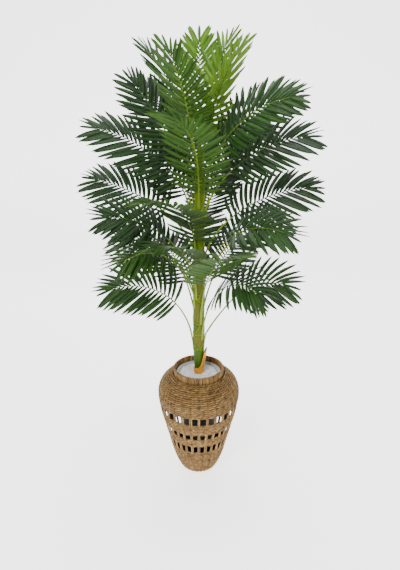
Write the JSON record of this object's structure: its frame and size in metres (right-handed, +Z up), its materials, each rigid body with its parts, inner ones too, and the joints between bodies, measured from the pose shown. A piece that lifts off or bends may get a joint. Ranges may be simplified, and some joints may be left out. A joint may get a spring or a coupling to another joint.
{
  "type": "artificial areca palm in a woven basket",
  "caption": "Artificial areca palm with a green sheathed trunk and arching feathery fronds, standing in an openwork seagrass vase basket filled with white crushed stone.",
  "frame": {"origin": "centre of the basket's flat underside, where it stands on the floor", "axes": "+Z up along the trunk and the basket's axis; -Y towards the side that is usually looked at, +X to its right"},
  "size_m": [0.9682, 0.8111, 1.8287],
  "materials": {
    "seagrass": "matte",
    "pot_plastic": "satin",
    "white_stone": "matte",
    "green_stem": "satin",
    "ochre_husk": "satin",
    "palm_green": "satin"
  },
  "bodies": {
    "root": {"basket": "seagrass", "inner_pot": "pot_plastic", "stones": "white_stone", "trunk": "green_stem", "dry_sheath": "ochre_husk", "frond_01": "palm_green", "frond_02": "palm_green", "frond_03": "palm_green", "frond_04": "palm_green", "frond_05": "palm_green", "frond_06": "palm_green", "frond_07": "palm_green", "frond_08": "palm_green", "frond_09": "palm_green", "frond_10": "palm_green", "frond_11": "palm_green", "frond_12": "palm_green", "frond_13": "palm_green", "frond_14": "palm_green", "frond_15": "palm_green", "frond_16": "palm_green", "frond_17": "palm_green", "frond_18": "palm_green", "frond_19": "palm_green", "frond_20": "palm_green", "frond_21": "palm_green", "frond_22": "palm_green", "frond_23": "palm_green", "frond_24": "palm_green", "frond_25": "palm_green", "frond_26": "palm_green", "frond_27": "palm_green", "frond_28": "palm_green", "frond_29": "palm_green", "frond_30": "palm_green", "frond_31": "palm_green", "frond_32": "palm_green", "frond_33": "palm_green"}
  },
  "joints": []
}
